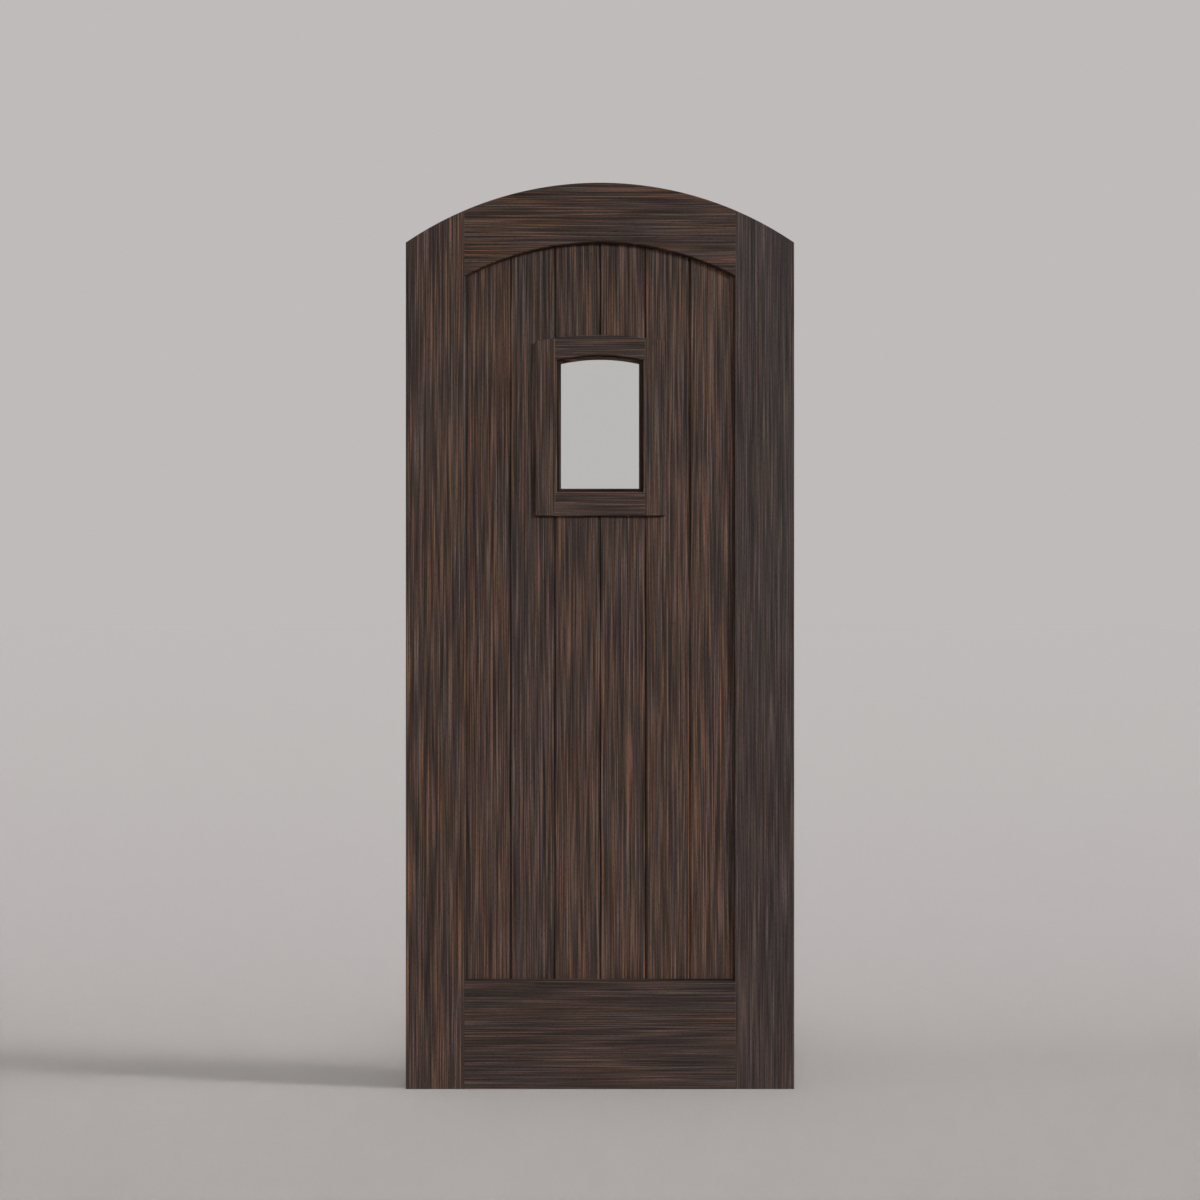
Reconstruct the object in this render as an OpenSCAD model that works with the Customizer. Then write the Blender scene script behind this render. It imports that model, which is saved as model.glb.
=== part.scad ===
// Arched plank door leaf with a small glazed window.
// X runs across the leaf, Y through its thickness (the front face is at -Y), Z up.
// The origin is at the middle of the leaf's foot.

/* [Leaf] */
// Width of the leaf
leaf_w = 914.4; // [760:0.1:1100]
// Height of the leaf at the crown of its arch
leaf_h = 2133.6; // [1960:0.1:2600]
// Thickness of the stiles and rails
leaf_t = 57.15; // [48:0.05:70]
// Radius of the arched top
arch_r = 812.8; // [650:0.1:1500]

/* [Stiles and rails] */
// Width of each stile
stile_w = 139.7; // [110:0.1:170]
// Width of the top rail, along the radius of the arch
top_rail_w = 139.7; // [110:0.1:170]
// Height of the bottom rail
bottom_rail_h = 254; // [180:0.1:320]
// Width of the eased edges
arris = 1.6; // [0.5:0.1:2.5]
// Length of the tenons
tenon_l = 70; // [40:1:80]
// Height of the top rail's tenons
top_tenon_h = 60; // [35:1:65]
// Height of each of the bottom rail's two tenons
bottom_tenon_h = 70; // [40:1:75]
// Depth of the groove that holds the planks
groove_depth = 12; // [9:0.5:16]

/* [Planks] */
// Thickness of the planks
plank_t = 19.05; // [16:0.05:24]
// Width of each half of the V joint between planks
vee = 3.175; // [1.5:0.025:4]
// Thickness of the tongues
tongue_t = 6.35; // [4:0.05:8]
// Length of the tongues
tongue_l = 8; // [5:0.5:11]
// Open joint left between two planks
plank_gap = 0.4; // [0.2:0.05:1]
// How far the planks reach into the groove
panel_engage = 10.5; // [7:0.5:13]

/* [Window] */
// Clear width inside the casing
window_w = 203.2; // [160:0.1:260]
// Clear height inside the casing, at the crown
window_h = 322.2; // [250:0.1:420]
// Height of the casing's lower inside edge above the foot
window_z = 1405.3; // [1200:0.1:1460]
// Radius of the window's arched head
window_arch_r = 431.8; // [300:0.1:900]
// Width of the side casings
casing_w = 50.8; // [38:0.1:65]
// Height of the casing's sill
casing_sill_h = 56.5; // [40:0.1:70]
// Height of the casing's head at the crown
casing_head_h = 47.4; // [38:0.1:60]
// Radius of the casing's top edge
casing_arch_r = 812.8; // [500:0.1:1500]
// Width of the slope on the casing's inside edges
casing_bevel_w = 1.2; // [0.5:0.1:4]
// Depth of that slope
casing_bevel_d = 1.2; // [0.5:0.1:4]
// How far the casing's head and sill are let into its sides
casing_cope = 4.2; // [2:0.1:8]
// Width of the lining's lip, seen inside the casing at its sides and sill
lip_w = 9; // [7:0.1:12]
// Width of the lip at the head
lip_head_w = 6; // [5:0.1:12]
// Depth of the lip behind the casing's face
lip_setback = 12.7; // [8:0.1:15]
// Thickness of the lip in front of the glass
lip_t = 10; // [9:0.1:14]
// Width of the eased edge on the lip
lip_ease = 2; // [0.5:0.1:4]
// How far the glazing beads' inside faces splay outwards
bead_splay = 4; // [1:0.1:4.5]
// Thickness of the lining's wall around the glass
lining_wall = 5.75; // [3:0.05:8]
// Thickness of the glass
glass_t = 6; // [4:0.5:8]
// Thickness of the glazing tape
tape_t = 1; // [0.5:0.1:2]

/* [Fasteners] */
// Diameter of the casing dowels
dowel_d = 8; // [6:0.5:10]
// Length of the casing dowels
dowel_l = 40; // [30:1:60]
// Diameter of the casing screws
screw_d = 4; // [3:0.5:5]
// Length of the casing screws
screw_l = 31; // [25:0.5:33]
// Diameter of the pins that fix the back casing
casing_pin_d = 1.6; // [1.2:0.1:2.5]
// Length of the pins that fix the back casing
casing_pin_l = 35; // [25:0.5:36]
// Diameter of the pins that fix the glazing beads
bead_pin_d = 1.2; // [0.8:0.1:1.6]

/* [Hidden] */
$fn = 96;

wood = "#46382f";
wood_warm = "#52402f";
wood_grey = "#433a36";
steel = "#8b8d90";

over = 1;          // how far a cutting tool runs past the wood
fit = 0.2;         // gap left between pieces that are slid together
glue = 0.12;       // gap on each face of a glued tenon
mortise_end = 1;   // space left past the end of a tenon
panel_play = 0.25; // gap on each face of a plank in its groove
glass_gap = 2;     // gap around the edge of the glass
tape_w = 4.5;      // width of the glazing tape
tape_inset = 0.5;  // from the edge of the glass to the tape

half_w = leaf_w / 2;
half_t = leaf_t / 2;
plank_y = plank_t / 2;
panel_half = half_w - stile_w;       // half the width between the stiles
arch_z = leaf_h - arch_r;            // centre of the arched top
inner_r = arch_r - top_rail_w;       // underside of the top rail
groove_w = plank_t + 2 * panel_play;

// Height of an arc of radius r and centre height z, at x from the middle
function arc_z(r, z, x) = z + sqrt(r * r - x * x);

top_joint_z = arc_z(inner_r, arch_z, panel_half);  // where the top rail's underside meets a stile
top_joint_h = arc_z(arch_r, arch_z, panel_half) - top_joint_z;
top_tenon_z = top_joint_z + (top_joint_h - top_tenon_h) / 4 + 1;
bottom_tenon_margin = (bottom_rail_h - groove_depth - 2 * bottom_tenon_h) / 3;
groove_top_z = arc_z(inner_r + groove_depth, arch_z, panel_half);

window_top_z = window_z + window_h;
window_arch_z = window_top_z - window_arch_r;
casing_z = window_z - casing_sill_h;
casing_top_z = window_top_z + casing_head_h;
casing_arch_z = casing_top_z - casing_arch_r;
casing_half = window_w / 2 + casing_w;
casing_mid_y = (half_t + plank_y) / 2;
lip_y = lip_setback - half_t;        // front face of the lining's lip
rabbet_y = lip_y + lip_t;            // face that the glass is bedded on
glass_y = rabbet_y + tape_t;         // front face of the glass
bead_y = glass_y + glass_t + tape_t; // front face of the glazing beads
bead_back_y = half_t - lip_setback;  // back face of the glazing beads

// The two middle planks are as wide as the window lining, and the others share the rest.
lining_half = window_w / 2 + lining_wall;
side_plank_w = (panel_half - lining_half) / 2;
joints = [
    -panel_half - panel_engage, -lining_half - side_plank_w, -lining_half, 0,
    lining_half, lining_half + side_plank_w, panel_half + panel_engage
];

// Screws stand near the outer edge of the side casings and pins near the inner edge.
side_screw_x = window_w / 2 + casing_w * 0.64;
side_pin_x = window_w / 2 + casing_w * 0.28;
end_screw_x = window_w / 4;
end_pin_x = window_w / 8;
sill_mid_z = casing_z + (casing_sill_h - lining_wall) / 2;
head_mid_z = window_top_z + (casing_head_h + lining_wall) / 2;
side_screw_zs = [for (i = [0 : 3]) window_z + window_h * (0.02 + i * 0.3)];
side_pin_zs = [for (i = [0 : 3]) window_z + window_h * (0.1 + i * 0.27)];
lip_crown_z = arc_z(window_arch_r - lip_head_w, window_arch_z, end_screw_x);
bead_side_pin_zs = [for (i = [0 : 2]) window_z + window_h * (0.15 + i * 0.35)];
bead_pin_y = (bead_y + plank_y) / 2;
pin_sink = 1;        // how far the casing pins are sunk
bead_land = 1;       // flat edge left on the beads beside the glass
bead_pin_sink = 2;   // how far the bead pins start behind the edge of the lip
bead_pin_inset = 1;  // how far they stop short of the lining's outer face

// Length of a bead pin where the lip is w wide
function bead_pin_l(w) = w + lining_wall - bead_pin_sink - bead_pin_inset;

// ---- Helpers ----

// Stands a shape drawn in X and Z between two depths.
module slab(y0, y1) rotate([90, 0, 0]) translate([0, 0, -y1]) linear_extrude(y1 - y0) children();

// Runs a section drawn in Y and Z across the leaf.
module across(half_length) rotate([90, 0, 90]) linear_extrude(2 * half_length, center = true) children();

// Turns a section drawn as radius and minus Y about an arch's centre.
module turned(z) translate([0, 0, z]) rotate([90, 0, 0]) rotate_extrude($fn = 720) children();

module both_sides() {
    children();
    mirror([1, 0, 0]) children();
}

// ---- Stiles and rails ----

// Everything under the leaf's arched top, with its eased edges.
module under_arch() {
    turned(arch_z) polygon([
        [0, -half_t], [arch_r - arris, -half_t], [arch_r, arris - half_t],
        [arch_r, half_t - arris], [arch_r - arris, half_t], [0, half_t]
    ]);
    translate([-half_w - over, -half_t, -over]) cube([leaf_w + 2 * over, leaf_t, arch_z + over]);
}

module stile_section() polygon([
    [panel_half, arris - half_t], [panel_half + arris, -half_t],
    [half_w - arris, -half_t], [half_w, arris - half_t],
    [half_w, half_t - arris], [half_w - arris, half_t],
    [panel_half + arris, half_t], [panel_half, half_t - arris]
]);

module right_stile_blank() intersection() {
    linear_extrude(leaf_h) stile_section();
    under_arch();
}

// A tenon on the right end of a rail, or its mortise when grown by a gap.
module tenon(z, h, gap = 0, root = 5) translate([panel_half - root, -groove_w / 2 + glue - gap, z - gap])
    cube([tenon_l + root + (gap > 0 ? mortise_end : 0), groove_w - 2 * glue + 2 * gap, h + 2 * gap]);

module right_tenons(gap = 0) {
    tenon(top_tenon_z, top_tenon_h, gap);
    bottom_tenons(gap);
}

module bottom_tenons(gap = 0) for (i = [0 : 1])
    tenon(bottom_tenon_margin + i * (bottom_tenon_h + bottom_tenon_margin), bottom_tenon_h, gap);

module right_stile() color(wood_grey) difference() {
    right_stile_blank();
    translate([panel_half - over, -groove_w / 2, bottom_rail_h - groove_depth])
        cube([groove_depth + over, groove_w, groove_top_z - bottom_rail_h + groove_depth]);
    right_tenons(glue);
}

module left_stile() mirror([1, 0, 0]) right_stile();

module top_rail() color(wood) {
    difference() {
        intersection() {
            turned(arch_z) polygon([
                [inner_r, arris - half_t], [inner_r + arris, -half_t],
                [arch_r - arris, -half_t], [arch_r, arris - half_t],
                [arch_r, half_t - arris], [arch_r - arris, half_t],
                [inner_r + arris, half_t], [inner_r, half_t - arris],
                [inner_r, groove_w / 2], [inner_r + groove_depth, groove_w / 2],
                [inner_r + groove_depth, -groove_w / 2], [inner_r, -groove_w / 2]
            ]);
            translate([-panel_half - arris, -half_t - over, arch_z])
                cube([2 * (panel_half + arris), leaf_t + 2 * over, arch_r + over]);
        }
        both_sides() right_stile_blank();
    }
    both_sides() tenon(top_tenon_z, top_tenon_h, root = 2);
}

module bottom_rail() color(wood) {
    difference() {
        across(panel_half + arris) polygon([
            [-half_t, 0], [half_t, 0], [half_t, bottom_rail_h - arris],
            [half_t - arris, bottom_rail_h], [groove_w / 2, bottom_rail_h],
            [groove_w / 2, bottom_rail_h - groove_depth],
            [-groove_w / 2, bottom_rail_h - groove_depth],
            [-groove_w / 2, bottom_rail_h], [arris - half_t, bottom_rail_h],
            [-half_t, bottom_rail_h - arris]
        ]);
        both_sides() right_stile_blank();
    }
    both_sides() bottom_tenons();
}

// ---- Planks ----

// Half of the section's outline at an edge, from the front face to the back face.
function plain_edge(x) = [[x, -plank_y], [x, plank_y]];
function grooved_edge(x) = [
    [x + vee, -plank_y], [x, vee - plank_y], [x, -tongue_t / 2 - fit],
    [x + tongue_l + fit, -tongue_t / 2 - fit], [x + tongue_l + fit, tongue_t / 2 + fit],
    [x, tongue_t / 2 + fit], [x, plank_y - vee], [x + vee, plank_y]
];
function tongued_edge(x) = [
    [x - vee, -plank_y], [x, vee - plank_y], [x, -tongue_t / 2],
    [x + tongue_l, -tongue_t / 2], [x + tongue_l, tongue_t / 2],
    [x, tongue_t / 2], [x, plank_y - vee], [x - vee, plank_y]
];
function reversed(list) = [for (i = [len(list) - 1 : -1 : 0]) list[i]];

module plank_section(i) {
    left = i == 1 ? plain_edge(joints[0]) : grooved_edge(joints[i - 1] + plank_gap / 2);
    right = i == 6 ? plain_edge(joints[6]) : tongued_edge(joints[i] - plank_gap / 2);
    polygon(concat(left, reversed(right)));
}

// The planked panel's outline, with the part that is hidden in the grooves.
module panel_outline() {
    translate([-half_w, bottom_rail_h - panel_engage])
        square([leaf_w, arch_z - bottom_rail_h + panel_engage]);
    intersection() {
        translate([0, arch_z]) circle(inner_r + panel_engage, $fn = 720);
        translate([-half_w, arch_z]) square([leaf_w, arch_r]);
    }
}

module plank(i) color(i % 2 == 0 ? wood : wood_warm) difference() {
    intersection() {
        linear_extrude(leaf_h) plank_section(i);
        slab(-leaf_t, leaf_t) panel_outline();
    }
    slab(-leaf_t, leaf_t) window_outline(lining_wall + plank_gap / 2);
    screw_holes();
    pin_holes();
}

module plank_upper(i) intersection() {
    plank(i);
    translate([-half_w, -half_t, window_z + window_h / 2]) cube([leaf_w, leaf_t, leaf_h]);
}

module plank_lower(i) intersection() {
    plank(i);
    translate([-half_w, -half_t, 0]) cube([leaf_w, leaf_t, window_z + window_h / 2]);
}

// ---- Window ----

// Inside the clear opening the head's steps are narrower than the others, as its lip is.
function head_step(u) = u < 0 ? u * lip_head_w / lip_w : u;

// The casing's clear opening grown by u, or made smaller where u is negative.
module window_outline(u) intersection() {
    translate([-window_w / 2 - u, window_z - u]) square([window_w + 2 * u, window_h + 2 * abs(u) + over]);
    translate([0, window_arch_z]) circle(window_arch_r + head_step(u), $fn = 720);
}

module window_ring(u0, u1, y0, y1) slab(y0, y1) difference() {
    window_outline(u1);
    window_outline(u0);
}

// The mitre line of the window's corner on the right: a point u out from the clear opening.
function lower_corner(u) = [window_w / 2 + u, window_z - u];
function upper_corner(u) =
    [window_w / 2 + u, arc_z(window_arch_r + head_step(u), window_arch_z, window_w / 2 + u)];

mitre_in = -lip_w - 4;
mitre_out = lining_wall + 4;

// Keeps what lies to the right of the glass, between its mitres.
module right_of_glass() intersection() {
    children();
    slab(-half_t, half_t) polygon([
        lower_corner(mitre_in), lower_corner(mitre_out), upper_corner(mitre_out), upper_corner(mitre_in)
    ]);
}

module left_of_glass() mirror([1, 0, 0]) right_of_glass() children();

module above_glass() intersection() {
    children();
    slab(-half_t, half_t) polygon([
        upper_corner(mitre_in), upper_corner(mitre_out), [window_w / 2, casing_top_z],
        [-window_w / 2, casing_top_z], flipped(upper_corner(mitre_out)), flipped(upper_corner(mitre_in))
    ]);
}

module below_glass() intersection() {
    children();
    slab(-half_t, half_t) polygon([
        lower_corner(mitre_in), lower_corner(mitre_out),
        flipped(lower_corner(mitre_out)), flipped(lower_corner(mitre_in))
    ]);
}

function flipped(p) = [-p[0], p[1]];

// The clear space inside a lip. Over the last run of depth before its face, at depth -y, it
// widens by rise.
module eased_opening(y, run, rise) {
    deep = y - run;
    edge = window_w / 2 - lip_w;
    sill = window_z + lip_w;
    r = window_arch_r - lip_head_w;
    wide = rise * (1 + over / run);
    intersection() {
        across(half_w) polygon([
            [-y - over, sill - wide], [-deep, sill], [-deep, leaf_h], [-y - over, leaf_h]
        ]);
        linear_extrude(leaf_h) polygon([
            [-edge, -deep], [edge, -deep], [edge + wide, -y - over], [-edge - wide, -y - over]
        ]);
        turned(window_arch_z) polygon([[0, deep], [r, deep], [r + wide, y + over], [0, y + over]]);
    }
}

module lining() color(wood_warm) difference() {
    union() {
        window_ring(-lip_w, -fit, lip_y, -plank_y);
        window_ring(-lip_w, lining_wall, -plank_y, rabbet_y);
        window_ring(0, lining_wall, rabbet_y, plank_y);
    }
    eased_opening(-lip_y, lip_ease, lip_ease);
    bead_pin_set();
}

module beads() color(wood_warm) difference() {
    window_ring(-lip_w, -fit, bead_y, bead_back_y);
    mirror([0, 1, 0]) eased_opening(bead_back_y, bead_back_y - bead_y - bead_land, bead_splay);
    bead_pin_set();
}

module glass_pane() color("#a8b4ae", 0.4) slab(glass_y, glass_y + glass_t) window_outline(-glass_gap);

module tape(y) color("#202022")
    window_ring(-glass_gap - tape_inset - tape_w, -glass_gap - tape_inset, y, y + tape_t);

module setting_blocks() color("#161616") both_sides()
    translate([window_w / 4 - 15, glass_y, window_z]) cube([30, glass_t, glass_gap]);

// Everything inside the casing's outer edge, with its eased front edges.
module casing_envelope() intersection() {
    turned(casing_arch_z) polygon([
        [0, plank_y], [casing_arch_r, plank_y], [casing_arch_r, half_t - arris],
        [casing_arch_r - arris, half_t], [0, half_t]
    ]);
    across(half_w) polygon([
        [-plank_y, casing_z], [arris - half_t, casing_z], [-half_t, casing_z + arris],
        [-half_t, leaf_h], [-plank_y, leaf_h]
    ]);
}

spring_z = arc_z(window_arch_r, window_arch_z, window_w / 2);  // upper corners of the clear opening

module casing_side() difference() {
    intersection() {
        linear_extrude(leaf_h) polygon([
            [window_w / 2, -plank_y], [window_w / 2, casing_bevel_d - half_t],
            [window_w / 2 + casing_bevel_w, -half_t], [casing_half - arris, -half_t],
            [casing_half, arris - half_t], [casing_half, -plank_y]
        ]);
        casing_envelope();
    }
    casing_block(casing_z - over, window_z);
    casing_block(spring_z, leaf_h);
    dowel_set();
}

// The room that a head or sill takes between the sides, from one height to another.
module casing_block(z0, z1) translate([-window_w / 2 - casing_cope, -half_t - over, z0])
    cube([window_w + 2 * casing_cope, half_t - plank_y + 2 * over, z1 - z0]);

module casing_between(z0, z1) intersection() {
    casing_envelope();
    casing_block(z0, z1);
}

// Keeps what lies between the sides of the clear opening.
module within_opening() intersection() {
    children();
    translate([-window_w / 2, -leaf_t, 0]) cube([window_w, 2 * leaf_t, leaf_h]);
}

module casing_head() difference() {
    casing_between(spring_z, leaf_h);
    within_opening() turned(window_arch_z) polygon([
        [0, plank_y - over], [window_arch_r, plank_y - over], [window_arch_r, half_t - casing_bevel_d],
        [window_arch_r + 2 * casing_bevel_w, half_t + casing_bevel_d], [0, half_t + casing_bevel_d]
    ]);
    dowel_set();
}

module casing_sill() difference() {
    casing_between(casing_z, window_z);
    within_opening() across(half_w) polygon([
        [-half_t - casing_bevel_d, window_z - 2 * casing_bevel_w],
        [-half_t - casing_bevel_d, window_z + over], [casing_bevel_d - half_t, window_z + over],
        [casing_bevel_d - half_t, window_z]
    ]);
    dowel_set();
}

// ---- Fasteners ----

// Dowels in the four corners of the front casing.
module dowel_set() both_sides() for (z = [sill_mid_z, dowel_head_z])
    translate([window_w / 2 - dowel_l / 2, -casing_mid_y, z])
        rotate([0, 90, 0]) cylinder(d = dowel_d, h = dowel_l);

dowel_head_z = (arc_z(window_arch_r, window_arch_z, window_w / 2)
    + arc_z(casing_arch_r, casing_arch_z, window_w / 2)) / 2;

// Where the screws or pins of the casing stand, on the right half.
module at_casing_fixings(side_x, side_zs, end_x) both_sides() {
    for (z = side_zs) translate([side_x, 0, z]) children();
    for (z = [sill_mid_z, head_mid_z]) translate([end_x, 0, z]) children();
}

// A countersunk screw that enters the back of the planks.
module screw(gap = 0) translate([0, plank_y, 0]) rotate([90, 0, 0]) rotate_extrude() polygon([
    [0, -gap], [screw_d + gap, -gap], [screw_d + gap, 0.4], [screw_d / 2 + gap, 0.4 + screw_d / 2],
    [screw_d / 2 + gap, screw_l - screw_d / 2 + gap], [0, screw_l + gap]
]);

module casing_screws(gap = 0) color(steel)
    at_casing_fixings(side_screw_x, side_screw_zs, end_screw_x) screw(gap);

module screw_holes() casing_screws(fit / 2);

// A pin with its head sunk below the back casing's face.
module casing_pin() translate([0, half_t - pin_sink, 0]) rotate([90, 0, 0])
    cylinder(d = casing_pin_d, h = casing_pin_l, $fn = 24);

module casing_pins() color(steel) at_casing_fixings(side_pin_x, side_pin_zs, end_pin_x) casing_pin();

module pin_holes() casing_pins();

// Pins that go outwards through the glazing beads into the lining.
module bead_pin(w) translate([0, bead_pin_y, bead_pin_sink])
    cylinder(d = bead_pin_d, h = bead_pin_l(w), $fn = 24);

module bead_pin_set() {
    both_sides() for (z = bead_side_pin_zs)
        translate([window_w / 2 - lip_w, 0, z]) rotate([0, 90, 0]) bead_pin(lip_w);
    both_sides() {
        translate([end_screw_x, 0, window_z + lip_w]) mirror([0, 0, 1]) bead_pin(lip_w);
        translate([end_screw_x, 0, lip_crown_z]) bead_pin(lip_head_w);
    }
}

module front_casing() color(wood_warm) difference() {
    children();
    screw_holes();
}

module back_casing() color(wood_warm) difference() {
    mirror([0, 1, 0]) children();
    pin_holes();
}

left_stile();
right_stile();
top_rail();
bottom_rail();
plank(1);  // plank_1
plank(2);  // plank_2
plank_upper(3);  // plank_3_upper
plank_lower(3);  // plank_3_lower
plank_upper(4);  // plank_4_upper
plank_lower(4);  // plank_4_lower
plank(5);  // plank_5
plank(6);  // plank_6
front_casing() mirror([1, 0, 0]) casing_side();  // front_casing_left
front_casing() casing_side();  // front_casing_right
front_casing() casing_head();  // front_casing_head
front_casing() casing_sill();  // front_casing_sill
back_casing() mirror([1, 0, 0]) casing_side();  // back_casing_left
back_casing() casing_side();  // back_casing_right
back_casing() casing_head();  // back_casing_head
back_casing() casing_sill();  // back_casing_sill
left_of_glass() lining();  // window_lining_left
right_of_glass() lining();  // window_lining_right
above_glass() lining();  // window_lining_head
below_glass() lining();  // window_lining_sill
left_of_glass() beads();  // glazing_bead_left
right_of_glass() beads();  // glazing_bead_right
above_glass() beads();  // glazing_bead_head
below_glass() beads();  // glazing_bead_sill
glass_pane();
tape(rabbet_y);  // glazing_tape_front
tape(glass_y + glass_t);  // glazing_tape_back
setting_blocks();
color(wood_warm) dowel_set();  // front_casing_dowels
color(wood_warm) mirror([0, 1, 0]) dowel_set();  // back_casing_dowels
casing_screws();
casing_pins();
color(steel) bead_pin_set();  // bead_pins
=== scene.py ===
"""Arched plank door leaf: the finish of its wood and glass, and a plain studio around it."""

import math
import random

import bpy
import numpy as np
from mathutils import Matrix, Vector


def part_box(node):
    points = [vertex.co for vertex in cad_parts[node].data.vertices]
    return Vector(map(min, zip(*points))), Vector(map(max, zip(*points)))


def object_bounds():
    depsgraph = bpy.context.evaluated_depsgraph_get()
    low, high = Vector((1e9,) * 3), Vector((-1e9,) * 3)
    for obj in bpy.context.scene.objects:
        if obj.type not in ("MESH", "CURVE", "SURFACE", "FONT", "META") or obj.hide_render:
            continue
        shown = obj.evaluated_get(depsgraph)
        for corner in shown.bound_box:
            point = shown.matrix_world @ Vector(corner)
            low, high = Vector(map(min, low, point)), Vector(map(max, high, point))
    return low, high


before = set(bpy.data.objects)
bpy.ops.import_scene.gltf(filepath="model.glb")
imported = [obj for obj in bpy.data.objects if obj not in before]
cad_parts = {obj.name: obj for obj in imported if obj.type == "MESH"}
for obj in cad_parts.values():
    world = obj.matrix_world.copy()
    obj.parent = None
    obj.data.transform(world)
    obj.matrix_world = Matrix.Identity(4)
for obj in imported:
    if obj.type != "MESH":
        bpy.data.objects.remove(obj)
cad_low, cad_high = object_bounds()
MM = 0.001

# ---------------------------------------------------------------- places taken from the frame

face_y = cad_low.y
stile_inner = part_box("right_stile")[0].x
middle_plank_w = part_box("window_lining_right")[1].x
outer_plank_w = (stile_inner - middle_plank_w) / 2
leaf_height = cad_high.z

# ---------------------------------------------------------------- camera

# metres above the floor, and in front of the leaf's face
EYE_HEIGHT = 1.151
EYE_DISTANCE = 3.028
FIELD_OF_VIEW = math.radians(50)

eye = bpy.data.cameras.new("eye")
eye.sensor_width = 36
eye.lens = eye.sensor_width / 2 / math.tan(FIELD_OF_VIEW / 2)
eye.clip_start = 0.05
eye.clip_end = 200
camera = bpy.data.objects.new("eye", eye)
camera.location = (0, face_y - EYE_DISTANCE, EYE_HEIGHT)
camera.rotation_euler = (math.radians(90), 0, 0)
bpy.context.scene.collection.objects.link(camera)
bpy.context.scene.camera = camera


# ---------------------------------------------------------------- wiring


class Wiring:
    """Places nodes in a tree and joins them. Most methods return the output of the node they place."""

    def __init__(self, tree):
        self.tree = tree

    def node(self, kind, **settings):
        made = self.tree.nodes.new(kind)
        for name, value in settings.items():
            setattr(made, name, value)
        return made

    def feed(self, socket, value):
        """Joins a socket to another one, or sets it to a plain number, vector or colour."""
        if isinstance(value, bpy.types.NodeSocket):
            self.tree.links.new(value, socket)
        elif value is not None:
            socket.default_value = value

    def maths(self, operation, a, b=None, c=None, clamp=False):
        made = self.node("ShaderNodeMath", operation=operation, use_clamp=clamp)
        for socket, value in zip(made.inputs, (a, b, c)):
            self.feed(socket, value)
        return made.outputs[0]

    def vector(self, operation, a, b=None):
        made = self.node("ShaderNodeVectorMath", operation=operation)
        self.feed(made.inputs[0], a)
        self.feed(made.inputs[1], b)
        name = "Value" if operation in ("DOT_PRODUCT", "LENGTH") else "Vector"
        return made.outputs[name]

    def placed(self, vector, location=(0, 0, 0), rotation=(0, 0, 0), scale=(1, 1, 1)):
        made = self.node("ShaderNodeMapping", vector_type="POINT")
        self.feed(made.inputs["Vector"], vector)
        made.inputs["Location"].default_value = location
        made.inputs["Rotation"].default_value = rotation
        self.feed(made.inputs["Scale"], scale)
        return made.outputs["Vector"]

    def noise(self, vector, scale=1.0, detail=0.0, roughness=0.5):
        made = self.node("ShaderNodeTexNoise")
        self.feed(made.inputs["Vector"], vector)
        self.feed(made.inputs["Scale"], scale)
        made.inputs["Detail"].default_value = detail
        made.inputs["Roughness"].default_value = roughness
        return made.outputs["Fac"]

    def spread(self, value, low, high, to_low=0.0, to_high=1.0, smooth=False):
        """Carries low..high over to to_low..to_high, held at both ends."""
        made = self.node("ShaderNodeMapRange", interpolation_type="SMOOTHSTEP" if smooth else "LINEAR")
        names = ("Value", "From Min", "From Max", "To Min", "To Max")
        for name, given in zip(names, (value, low, high, to_low, to_high)):
            self.feed(made.inputs[name], given)
        return made.outputs["Result"]

    def mix(self, share, a, b, blend="MIX"):
        made = self.node("ShaderNodeMix", data_type="RGBA", blend_type=blend)
        self.feed(made.inputs["Factor"], share)
        self.feed(made.inputs[6], a)
        self.feed(made.inputs[7], b)
        return made.outputs[2]

    def split(self, vector):
        made = self.node("ShaderNodeSeparateXYZ")
        self.feed(made.inputs[0], vector)
        return made.outputs

    def join(self, x, y, z):
        made = self.node("ShaderNodeCombineXYZ")
        for socket, value in zip(made.inputs, (x, y, z)):
            self.feed(socket, value)
        return made.outputs[0]

    def bump(self, shader, height, strength, depth):
        """Raises and lowers the surface that the shader sees."""
        made = self.node("ShaderNodeBump")
        made.inputs["Strength"].default_value = strength
        made.inputs["Distance"].default_value = depth
        self.feed(made.inputs["Height"], height)
        self.feed(shader.inputs["Normal"], made.outputs["Normal"])

    def group(self, group, **values):
        """Places a group; each value goes to the input of that name."""
        made = self.node("ShaderNodeGroup", node_tree=group)
        for name, value in values.items():
            self.feed(made.inputs[name.replace("_", " ").capitalize()], value)
        return made.outputs


def new_group(name, inputs, outputs):
    """An empty shader group. inputs and outputs are {name: (socket type, starting value)}."""
    group = bpy.data.node_groups.new(name, "ShaderNodeTree")
    for way, sockets in (("INPUT", inputs), ("OUTPUT", outputs)):
        for label, (kind, value) in sockets.items():
            made = group.interface.new_socket(label, in_out=way, socket_type="NodeSocket" + kind)
            if value is not None:
                made.default_value = value
    wiring = Wiring(group)
    return group, wiring, wiring.node("NodeGroupInput").outputs, wiring.node("NodeGroupOutput").inputs


def plain_material(name):
    """A new material, its wiring and its shader."""
    material = bpy.data.materials.new(name)
    material.use_nodes = True
    return material, Wiring(material.node_tree), material.node_tree.nodes["Principled BSDF"]


def linear(red, green, blue):
    """A colour as seen on screen, 0 to 255, turned into the light that it stands for."""
    seen = np.array((red, green, blue)) / 255
    light = np.where(seen <= 0.04045, seen / 12.92, ((seen + 0.055) / 1.055) ** 2.4)
    return (*light.tolist(), 1.0)


# ---------------------------------------------------------------- wood

GRAIN_PITCH = 2.5 * MM
GRAIN_LENGTH = 0.23
# how many times as wide the lines are along the growth layers as across them
LAYER_STRETCH = 9
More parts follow.
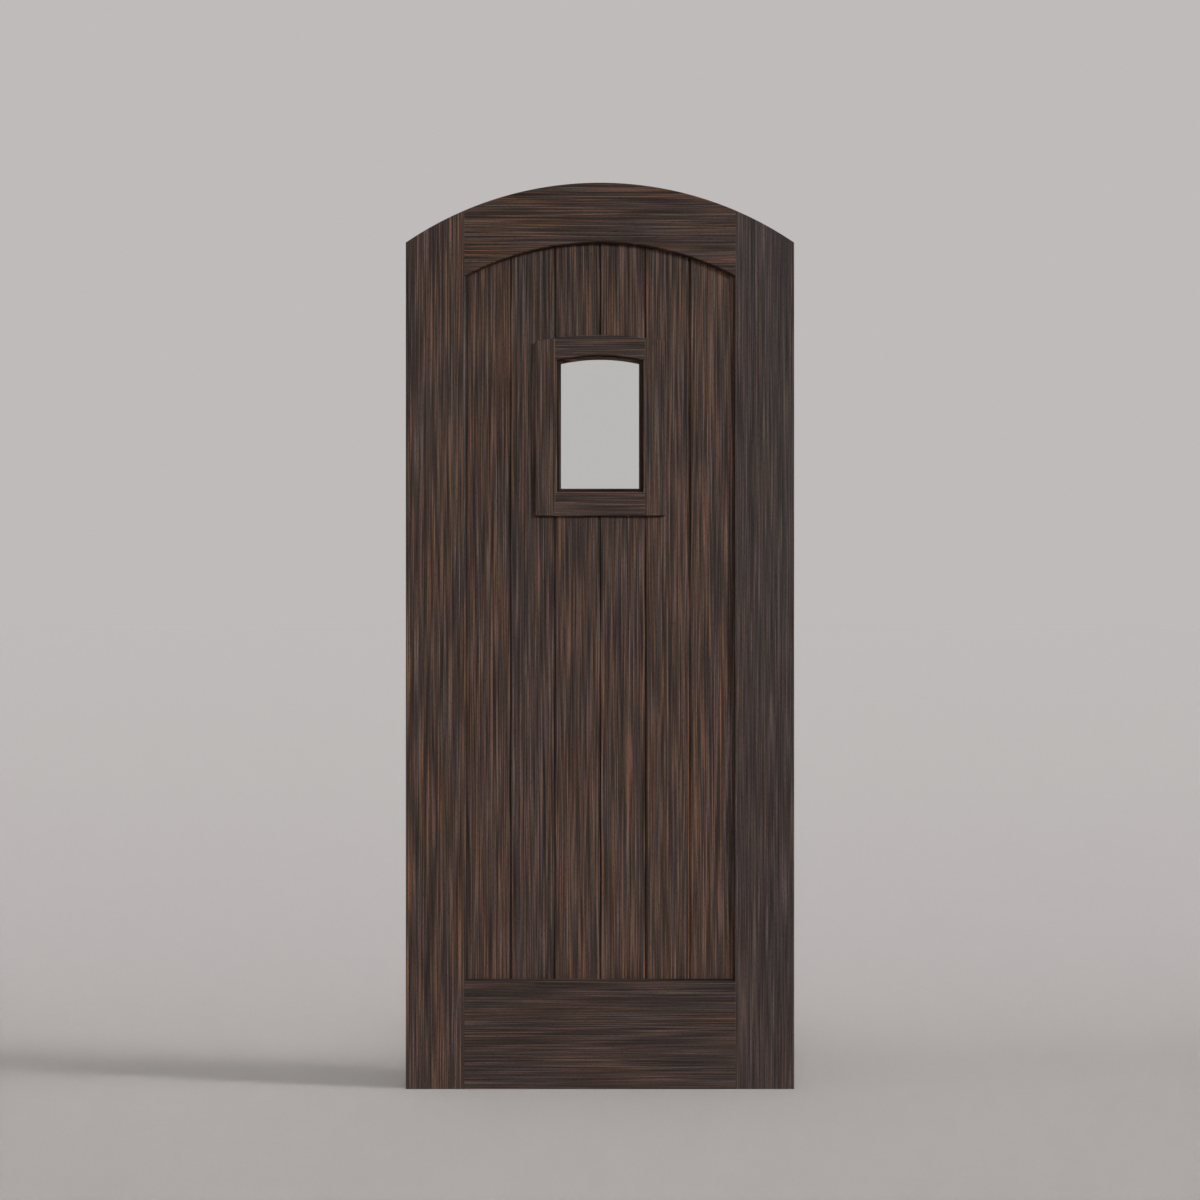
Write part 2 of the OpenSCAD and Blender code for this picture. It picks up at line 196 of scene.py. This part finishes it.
# how much of the fine, hair-thin and broad lines is added to the main ones
FINE_SHARE = 0.62
HAIR_SHARE = 0.30
BROAD_SHARE = 0.06
PORES_PER_METRE = (1500, 1500, 105)


def build_striped_grain():
    """Straight dark and light lines of quartered wood, as a 3-D field that runs through the board.

    X lies across the growth layers, Y along them and Z along the trunk. Noise squeezed in X and
    drawn out in Z gives lines on the faces, wider ones on the edges and short ones on end grain.
    Lines is the sum of noise at four pitches. Relief is the lines less the pores, for the bump.
    Each noise is read at a place of its own, so that no two of them run alike.
    """
    group, w, given, out = new_group(
        "striped grain",
        {
            "Vector": ("Vector", None),
            "Pitch": ("Float", GRAIN_PITCH),
            "Length": ("Float", GRAIN_LENGTH),
            "Wander": ("Float", 3 * MM),
        },
        {
            "Lines": ("Float", None),
            "Warmth": ("Float", None),
            "Bloom": ("Float", None),
            "Pores": ("Float", None),
            "Relief": ("Float", None),
        },
    )
    x, y, z = w.split(given["Vector"])
    drift = w.noise(w.placed(given["Vector"], scale=(7, 7, 1.1)), detail=1.0)
    x = w.maths("MULTIPLY_ADD", w.maths("SUBTRACT", drift, 0.5), given["Wander"], x)
    x = w.maths("DIVIDE", x, given["Pitch"])
    y = w.maths("DIVIDE", y, w.maths("MULTIPLY", given["Pitch"], LAYER_STRETCH))
    z = w.maths("DIVIDE", z, given["Length"])
    field = w.join(x, y, z)
    main = w.noise(field, detail=0.6, roughness=0.6)
    fine = w.noise(w.placed(field, location=(31, 7, 3), scale=(2.9, 2.9, 1.9)), detail=0.5)
    hair = w.noise(w.placed(field, location=(5, 17, 9), scale=(7.5, 7.5, 3.1)))
    broad = w.noise(w.placed(field, location=(3, 1, 5), scale=(0.2, 0.3, 0.6)), detail=1.0)
    lines = w.maths("MULTIPLY_ADD", w.maths("SUBTRACT", fine, 0.5), FINE_SHARE, main)
    lines = w.maths("MULTIPLY_ADD", w.maths("SUBTRACT", hair, 0.5), HAIR_SHARE, lines)
    lines = w.maths("MULTIPLY_ADD", w.maths("SUBTRACT", broad, 0.5), BROAD_SHARE, lines)
    w.feed(out["Lines"], lines)
    hue = w.noise(w.placed(field, location=(11, 2, 7), scale=(0.62, 0.5, 0.9)), detail=1.0)
    w.feed(out["Warmth"], w.maths("MULTIPLY_ADD", w.maths("SUBTRACT", broad, 0.5), 0.3, hue))
    bloom = w.noise(w.placed(field, location=(19, 4, 1), scale=(0.5, 0.4, 1.6)), detail=1.0)
    w.feed(out["Bloom"], w.spread(bloom, 0.36, 0.64))
    vessels = w.noise(w.placed(given["Vector"], location=(0.3, 0.2, 0.1), scale=PORES_PER_METRE))
    pores = w.spread(vessels, 0.60, 0.70, smooth=True)
    w.feed(out["Pores"], pores)
    w.feed(out["Relief"], w.maths("MULTIPLY_ADD", pores, -1.0, w.maths("MULTIPLY", lines, 0.5)))
    return group


def build_end_grain():
    """How far a face cuts across the grain, from 0 on a long face to 1 on an end."""
    group, w, given, out = new_group(
        "end grain", {"Along": ("Vector", (0, 0, 1))}, {"Cut": ("Float", None)}
    )
    facing = w.node("ShaderNodeTexCoord").outputs["Normal"]
    cut = w.maths("ABSOLUTE", w.vector("DOT_PRODUCT", facing, given["Along"]))
    w.feed(out["Cut"], w.spread(cut, 0.25, 0.95, smooth=True))
    return group


def build_painted_joint_shading():
    """Painted shade and highlight at the joints between boards, which stand side by side across X.

    Across is taken to the distance from the nearest joint, counted in cheeks. For half a cheek
    to each side the painted shade is deep, and the rest of both cheeks is made a little lighter
    by a painted highlight. The painted shade leans to the right by a fifth of a cheek. Heart is
    the shade in its middle.
    """
    group, w, given, out = new_group(
        "painted joint shading",
        {
            "Across": ("Float", 0.0),
            "First": ("Float", 0.0),
            "Pitch": ("Float", 0.1),
            "Cheek": ("Float", 2 * MM),
            "Heart": ("Float", 0.3),
        },
        {"Shade": ("Float", None)},
    )
    half = w.maths("MULTIPLY", given["Pitch"], 0.5)
    past = w.maths("SUBTRACT", given["Across"], given["First"])
    signed = w.maths("WRAP", past, half, w.maths("MULTIPLY", half, -1.0))
    cheeks = w.maths("DIVIDE", signed, given["Cheek"])
    cheeks = w.maths("ABSOLUTE", w.maths("SUBTRACT", cheeks, 0.2))
    # painted shade in the joint itself
    painted_shading = w.spread(cheeks, 0.35, 0.6, given["Heart"], 1.0)
    # painted highlight on the rest of each cheek
    painted_highlight = w.maths("MULTIPLY", w.spread(cheeks, 0.5, 0.65), w.spread(cheeks, 1.35, 1.1))
    w.feed(out["Shade"], w.maths("MULTIPLY", painted_shading, w.spread(painted_highlight, 0, 1, 1.0, 1.2)))
    return group


GRAIN_TONES = (
    (0.00, (0.0072, 0.0029, 0.0018, 1)),
    (0.22, (0.0175, 0.0081, 0.0052, 1)),
    (0.46, (0.0392, 0.0206, 0.0139, 1)),
    (0.66, (0.0675, 0.0357, 0.0236, 1)),
    (0.84, (0.1040, 0.0555, 0.0358, 1)),
    (1.00, (0.1550, 0.0825, 0.0518, 1)),
)
GREY_TINT = (0.84, 1.03, 1.42, 1)
RED_TINT = (1.16, 0.97, 0.72, 1)
OLIVE_TINT = (0.95, 1.06, 0.95, 1)
PLUM_TINT = (1.04, 0.97, 1.05, 1)
PORE_SHADE = 0.62
END_SHADE = 0.62
# how far the lines of a board of plain contrast reach from their middle
GRAIN_REACH = 0.26


def build_wood_tones():
    """The colour of a board.

    Lines, stretched about its middle by Reach, picks a tone from the ramp. That is multiplied by
    a tint from grey to red that follows Warmth, by one from olive to plum that follows Bloom, and
    by Tone, by Joints, which carries the painted shade and highlight of the joints, and by the
    shades of pores and end grain.
    """
    group, w, given, out = new_group(
        "wood tones",
        {
            "Lines": ("Float", 0.5),
            "Warmth": ("Float", 0.5),
            "Bloom": ("Float", 0.5),
            "Pores": ("Float", 0.0),
            "Cut": ("Float", 0.0),
            "Joints": ("Float", 1.0),
            "Reach": ("Float", GRAIN_REACH),
            "Redness": ("Float", 0.0),
            "Tone": ("Float", 1.0),
        },
        {"Colour": ("Color", None)},
    )
    ramp = w.node("ShaderNodeValToRGB")
    tones = ramp.color_ramp.elements
    while len(tones) < len(GRAIN_TONES):
        tones.new(0.5)
    for stop, (place, colour) in zip(tones, GRAIN_TONES):
        stop.position = place
        stop.color = colour
    darkest = w.maths("SUBTRACT", 0.5, given["Reach"])
    palest = w.maths("ADD", 0.5, given["Reach"])
    w.feed(ramp.inputs["Fac"], w.spread(given["Lines"], darkest, palest))
    greyest = w.maths("SUBTRACT", 0.34, given["Redness"])
    reddest = w.maths("SUBTRACT", 0.66, given["Redness"])
    tint = w.mix(w.spread(given["Warmth"], greyest, reddest), GREY_TINT, RED_TINT)
    colour = w.mix(1.0, ramp.outputs["Color"], tint, blend="MULTIPLY")
    colour = w.mix(1.0, colour, w.mix(given["Bloom"], OLIVE_TINT, PLUM_TINT), blend="MULTIPLY")
    shade = w.maths("MULTIPLY", given["Tone"], w.spread(given["Pores"], 0, 1, 1.0, PORE_SHADE))
    shade = w.maths("MULTIPLY", shade, w.spread(given["Cut"], 0, 1, 1.0, END_SHADE))
    # the painted shade and highlight of the joints
    shade = w.maths("MULTIPLY", shade, given["Joints"])
    w.feed(out["Colour"], w.mix(1.0, colour, w.join(shade, shade, shade), blend="MULTIPLY"))
    return group


SMOOTHEST_LACQUER = 0.46
ROUGHEST_LACQUER = 0.58
PORE_ROUGHNESS = 0.22
END_ROUGHNESS = 0.18


def build_satin():
    """Roughness of a thin satin lacquer: cloudy, and rougher in the pores and on end grain."""
    group, w, given, out = new_group(
        "satin",
        {"Vector": ("Vector", None), "Pores": ("Float", 0.0), "Cut": ("Float", 0.0)},
        {"Roughness": ("Float", None)},
    )
    clouds = w.noise(given["Vector"], detail=2.0)
    rough = w.spread(clouds, 0.3, 0.7, SMOOTHEST_LACQUER, ROUGHEST_LACQUER)
    rough = w.maths("MULTIPLY_ADD", given["Pores"], PORE_ROUGHNESS, rough)
    rough = w.maths("MULTIPLY_ADD", given["Cut"], END_ROUGHNESS, rough, clamp=True)
    w.feed(out["Roughness"], rough)
    return group


striped_grain = build_striped_grain()
end_grain = build_end_grain()
painted_joint_shading = build_painted_joint_shading()
wood_tones = build_wood_tones()
satin = build_satin()

UPRIGHT = (0, 0, 1)
LEVEL = (1, 0, 0)
# the angle between a board's growth layers and its face
GRAIN_SLANT = math.radians(24)
PORE_DEPTH = 0.25 * MM


def wood(name, along, tone=1.0, redness=0.0, contrast=1.0, seed=0, joints=None, sheen=0.35):
    """A board of dark striped hardwood under a thin satin lacquer.

    along is the way its grain runs. tone lightens the board, redness moves it from grey-brown
    to red-brown, and contrast parts its dark lines from its pale ones. The seed places the grain.
    joints, if given, are the values of the painted joint shading: first, pitch, cheek and heart.
    sheen is how strongly the lacquer reflects.
    """
    draw = random.Random(seed)
    offset = tuple(draw.uniform(-3, 3) for _ in range(3))
    wander = draw.uniform(3, 9) * MM
    material, w, shader = plain_material(name)
    point = w.node("ShaderNodeTexCoord").outputs["Object"]
    turn = (0, math.radians(-90), 0) if along == LEVEL else (0, 0, 0)
    grain_point = w.placed(point, rotation=turn)
    grain_point = w.placed(grain_point, location=offset, rotation=(0, 0, GRAIN_SLANT))
    grain = w.group(striped_grain, vector=grain_point, wander=wander)
    cut = w.group(end_grain, along=along)["Cut"]
    shade = 1.0
    # painted shade in the joints between boards, and painted highlight on their cheeks
    if joints is not None:
        first, pitch, cheek, heart = joints
        x = w.split(point)["X"]
        painted_shading = w.group(painted_joint_shading, across=x, first=first, pitch=pitch, cheek=cheek, heart=heart)
        shade = painted_shading["Shade"]
    tones = w.group(
        wood_tones,
        lines=grain["Lines"],
        warmth=grain["Warmth"],
        bloom=grain["Bloom"],
        pores=grain["Pores"],
        cut=cut,
        joints=shade,
        reach=GRAIN_REACH / contrast,
        redness=redness,
        tone=tone,
    )
    w.feed(shader.inputs["Base Color"], tones["Colour"])
    lacquer_point = w.placed(point, location=offset, scale=(9, 9, 5))
    lacquer = w.group(satin, vector=lacquer_point, pores=grain["Pores"], cut=cut)
    w.feed(shader.inputs["Roughness"], lacquer["Roughness"])
    shader.inputs["Specular IOR Level"].default_value = sheen
    w.bump(shader, grain["Relief"], 0.35, PORE_DEPTH)
    return material


def finish(node, material):
    """Gives a CAD node its finish in place of the plain one."""
    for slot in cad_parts[node].material_slots:
        slot.material = material


# the cheek of each V groove, and the painted shade at its heart
V_CHEEK = 2.4 * MM
V_HEART = 0.27

# where one joint is, how far apart they are, how wide a cheek of each is, and its darkest painted
# shade
left_plank_joints = (-middle_plank_w, outer_plank_w, V_CHEEK, V_HEART)
middle_plank_joints = (0.0, middle_plank_w, V_CHEEK, V_HEART)
right_plank_joints = (middle_plank_w, outer_plank_w, V_CHEEK, V_HEART)
# where rails meet the stiles' inner edges: a faint painted shade, with a painted highlight beside it
rail_joints = (stile_inner, 2 * stile_inner, 1.2 * MM, 0.85)

seeds = iter(range(11, 200, 7))

# the way the grain runs, then tone, redness and contrast
frame_looks = {
    "left_stile": (UPRIGHT, 0.98, 0.0, 1.0),
    "right_stile": (UPRIGHT, 0.82, -0.14, 0.85),
    "top_rail": (LEVEL, 0.85, 0.02, 1.0),
    "bottom_rail": (LEVEL, 0.69, -0.05, 0.95),
}
for node, (along, tone, redness, contrast) in frame_looks.items():
    label = "wood " + node.replace("_", " ")
    finish(node, wood(label, along, tone, redness, contrast, seed=next(seeds), joints=rail_joints))

# tone, redness and the joints on either side
plank_looks = {
    1: (1.02, 0.0, left_plank_joints),
    2: (0.95, -0.06, left_plank_joints),
    3: (1.0, 0.0, middle_plank_joints),
    4: (1.05, 0.0, middle_plank_joints),
    5: (1.11, 0.0, right_plank_joints),
    6: (1.13, 0.0, right_plank_joints),
}
for number, (tone, redness, joints) in plank_looks.items():
    board = wood(f"wood plank {number}", UPRIGHT, tone, redness, seed=next(seeds), joints=joints)
    nodes = [f"plank_{number}"]
    if number in (3, 4):
        nodes = [f"plank_{number}_upper", f"plank_{number}_lower"]
    for node in nodes:
        finish(node, board)

# round the window: which way the grain of each side runs, then tone and redness
window_sides = {"left": UPRIGHT, "right": UPRIGHT, "head": LEVEL, "sill": LEVEL}
casing_looks = {
    "left": (0.96, -0.02),
    "right": (0.94, 0.0),
    "head": (0.90, -0.05),
    "sill": (0.95, -0.03),
}
# painted shade: the lining and glazing beads are toned darker on the left, right and sill than on the
# head
lining_tones_with_painted_shade = {"left": 0.56, "right": 0.62, "head": 1.0, "sill": 0.62}
for side in ("front", "back"):
    for part, (tone, redness) in casing_looks.items():
        label = f"wood {side} casing {part}"
        board = wood(label, window_sides[part], tone, redness, seed=next(seeds))
        finish(f"{side}_casing_{part}", board)
for trim in ("window_lining", "glazing_bead"):
    for part, tone in lining_tones_with_painted_shade.items():
        node = f"{trim}_{part}"
        label = "wood " + node.replace("_", " ")
        board = wood(label, window_sides[part], tone, contrast=0.8, seed=next(seeds), sheen=0.12)
        finish(node, board)


# ---------------------------------------------------------------- glass, rubber, steel and dowels


def clear_glass():
    """Float glass with the faint waviness of its making."""
    material, w, shader = plain_material("clear float glass")
    point = w.node("ShaderNodeTexCoord").outputs["Object"]
    shader.inputs["Base Color"].default_value = (0.967, 0.992, 0.981, 1)
    shader.inputs["Transmission Weight"].default_value = 1.0
    shader.inputs["IOR"].default_value = 1.5
    shader.inputs["Roughness"].default_value = 0.0
    waves = w.noise(w.placed(point, scale=(11, 11, 6)), detail=1.0)
    w.bump(shader, waves, 0.04, 0.2 * MM)
    return material


def build_grit():
    """Fine specks all through a soft piece. Fineness is about how many there are to a metre."""
    group, w, given, out = new_group(
        "grit",
        {"Vector": ("Vector", None), "Fineness": ("Float", 1500)},
        {"Specks": ("Float", None)},
    )
    w.feed(out["Specks"], w.noise(given["Vector"], scale=given["Fineness"], detail=2.0))
    return group


grit = build_grit()


def soft_black(name, shade, fineness):
    """Foam tape or rubber block: black with a fine grit."""
    material, w, shader = plain_material(name)
    point = w.node("ShaderNodeTexCoord").outputs["Object"]
    speck = w.group(grit, vector=point, fineness=fineness)["Specks"]
    tint = w.spread(speck, 0.3, 0.7, shade * 0.7, shade * 1.4)
    w.feed(shader.inputs["Base Color"], w.join(tint, tint, tint))
    w.feed(shader.inputs["Roughness"], w.spread(speck, 0.3, 0.7, 0.7, 0.9))
    w.bump(shader, speck, 0.3, 0.1 * MM)
    return material


def zinc_steel():
    """Zinc-plated steel with drawn lines along the shank."""
    material, w, shader = plain_material("zinc plated steel")
    point = w.node("ShaderNodeTexCoord").outputs["Object"]
    drawn = w.noise(w.placed(point, scale=(2600, 160, 2600)), detail=2.0)
    shader.inputs["Metallic"].default_value = 1.0
    w.feed(shader.inputs["Base Color"], w.mix(drawn, (0.44, 0.45, 0.46, 1), (0.66, 0.66, 0.65, 1)))
    w.feed(shader.inputs["Roughness"], w.spread(drawn, 0.3, 0.7, 0.28, 0.45))
    return material


def pale_dowel():
    """Raw pale hardwood dowel with short flecks."""
    material, w, shader = plain_material("raw dowel wood")
    point = w.node("ShaderNodeTexCoord").outputs["Object"]
    fleck = w.noise(w.placed(point, scale=(120, 1400, 1400)), detail=2.0)
    w.feed(shader.inputs["Base Color"], w.mix(fleck, (0.42, 0.27, 0.15, 1), (0.62, 0.45, 0.28, 1)))
    w.feed(shader.inputs["Roughness"], w.spread(fleck, 0.3, 0.7, 0.6, 0.75))
    return material


finish("glass_pane", clear_glass())
tape_finish = soft_black("foam tape", 0.02, 3000)
for node in ("glazing_tape_front", "glazing_tape_back"):
    finish(node, tape_finish)
finish("setting_blocks", soft_black("rubber block", 0.012, 1500))
steel_finish = zinc_steel()
for node in ("casing_screws", "casing_pins", "bead_pins"):
    finish(node, steel_finish)
dowel_finish = pale_dowel()
for node in ("front_casing_dowels", "back_casing_dowels"):
    finish(node, dowel_finish)


# ---------------------------------------------------------------- studio

# the backdrop as it is seen, as it lights the leaf, and the floor before it fades
BACKDROP = linear(191, 187, 186)
AMBIENT = (0.06, 0.0591, 0.0585, 1)
BARE_FLOOR = (0.396, 0.375, 0.362, 1)

# the floor, in metres from its middle
FLOOR_REACH = 60.0
FIRST_RING = 0.5
RINGS = 24
SPOKES = 96
FADE_FROM_BEHIND = 0.2
FADE_FROM_AROUND = 3.0
# past the place where it starts, this far on the fade is half done
FADE_LENGTH = 1.1


def seen_or_lighting(w):
    """The backdrop's colour where it is looked at, and the weaker ambient light elsewhere."""
    path = w.node("ShaderNodeLightPath").outputs
    looked_at = w.maths("MAXIMUM", path["Is Camera Ray"], path["Is Transmission Ray"])
    return w.mix(looked_at, AMBIENT, BACKDROP)


def studio_floor():
    """A round floor at the level of the leaf's foot, which fades into the backdrop.

    Point k of ring n stands at radius r(n), which grows by a fixed ratio from the first ring
    out to the edge, and at the angle of spoke k, an equal share of the turn after the one
    before. Quads join each ring to the next, and a fan about the middle closes the first ring.
    """
    radii = np.geomspace(FIRST_RING, FLOOR_REACH, RINGS)
    turn = np.linspace(0, 2 * math.pi, SPOKES, endpoint=False)
    radius, angle = np.meshgrid(radii, turn, indexing="ij")
    ring_points = np.stack((radius * np.cos(angle), radius * np.sin(angle), np.zeros_like(radius)), -1)
    points = np.concatenate((np.zeros((1, 3)), ring_points.reshape(-1, 3)))
    here = 1 + np.arange(radius.size).reshape(radius.shape)
    after = np.roll(here, -1, axis=1)
    fan = np.stack((np.zeros_like(here[0]), here[0], after[0]), -1)
    quads = np.stack((here[:-1], here[1:], after[1:], after[:-1]), -1).reshape(-1, 4)
    mesh = bpy.data.meshes.new("studio_floor")
    mesh.from_pydata(points.tolist(), [], fan.tolist() + quads.tolist())
    floor = bpy.data.objects.new("studio_floor", mesh)
    bpy.context.scene.collection.objects.link(floor)
    material, w, shader = plain_material("studio floor")
    place = w.node("ShaderNodeTexCoord").outputs["Object"]
    behind = w.maths("SUBTRACT", w.split(place)["Y"], FADE_FROM_BEHIND)
    beyond = w.maths("SUBTRACT", w.vector("LENGTH", place), FADE_FROM_AROUND)
    away = w.maths("MAXIMUM", w.maths("MAXIMUM", behind, beyond), 0.0)
    fade = w.maths("DIVIDE", away, w.maths("ADD", away, FADE_LENGTH))
    w.feed(shader.inputs["Base Color"], w.mix(fade, BARE_FLOOR, (0, 0, 0, 1)))
    w.feed(shader.inputs["Emission Color"], seen_or_lighting(w))
    w.feed(shader.inputs["Emission Strength"], fade)
    shader.inputs["Roughness"].default_value = 0.8
    shader.inputs["Specular IOR Level"].default_value = 0.0
    material.cycles.emission_sampling = "NONE"
    mesh.materials.append(material)
    return floor


def studio_world():
    """The backdrop as seen, and a soft even light from all round."""
    world = bpy.data.worlds.new("studio")
    world.use_nodes = True
    bpy.context.scene.world = world
    w = Wiring(world.node_tree)
    w.feed(world.node_tree.nodes["Background"].inputs["Color"], seen_or_lighting(w))


def choice_of(name, state, *objects):
    """What a lamp lights: these objects alone for INCLUDE, all but these for EXCLUDE."""
    choice = bpy.data.collections.new(name)
    for number, chosen in enumerate(objects):
        choice.objects.link(chosen)
        choice.collection_objects[number].light_linking.link_state = state
    return choice


def lamp(name, towards_right, height, power, softness, lights, sheen=True):
    """A far softbox aimed at the leaf.

    towards_right and height are the angles of its place from straight out of the front face,
    softness is the angle that it fills, all in degrees. A power of 1 lights a white surface
    that faces the lamp to full white. Without sheen it leaves no highlight.
    """
    data = bpy.data.lights.new(name, "SUN")
    data.energy = power * math.pi
    data.angle = math.radians(softness)
    made = bpy.data.objects.new(name, data)
    aside, up = math.radians(towards_right), math.radians(height)
    out = Vector((math.sin(aside) * math.cos(up), -math.cos(aside) * math.cos(up), math.sin(up)))
    made.location = Vector((0, 0, leaf_height / 2)) + out * 6
    made.rotation_euler = out.to_track_quat("Z", "Y").to_euler()
    made.visible_glossy = sheen
    made.visible_transmission = False
    made.light_linking.receiver_collection = lights
    bpy.context.scene.collection.objects.link(made)


floor = studio_floor()
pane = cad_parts["glass_pane"]
floor_only = choice_of("floor_only", "INCLUDE", floor)
leaf_only = choice_of("leaf_only", "EXCLUDE", floor, pane)
all_but_pane = choice_of("all_but_pane", "EXCLUDE", pane)
studio_world()
lamp("front_fill", 13, 8, 0.32, 22, leaf_only, sheen=False)
lamp("front_right", 36, 12, 0.41, 14, leaf_only)
lamp("front_left", -32, 9, 0.15, 22, leaf_only)
lamp("right_strip_high", 84.2, 48, 0.42, 5.3, all_but_pane)
lamp("right_strip_low", 83.5, 14, 0.30, 8, all_but_pane)
lamp("left_strip", -84.7, 43, 0.13, 5.3, all_but_pane)
lamp("overhead", 0, 86, 0.24, 30, all_but_pane, sheen=False)
lamp("floor_fill", 0, 84, 0.30, 30, floor_only)
lamp("back_fill", 167, 14, 0.32, 40, leaf_only, sheen=False)
lamp("back_right", 144, 14, 0.24, 32, leaf_only)
lamp("back_left", -146, 14, 0.30, 30, leaf_only)
bpy.context.scene.view_settings.view_transform = "Standard"
bpy.context.scene.view_settings.look = "None"
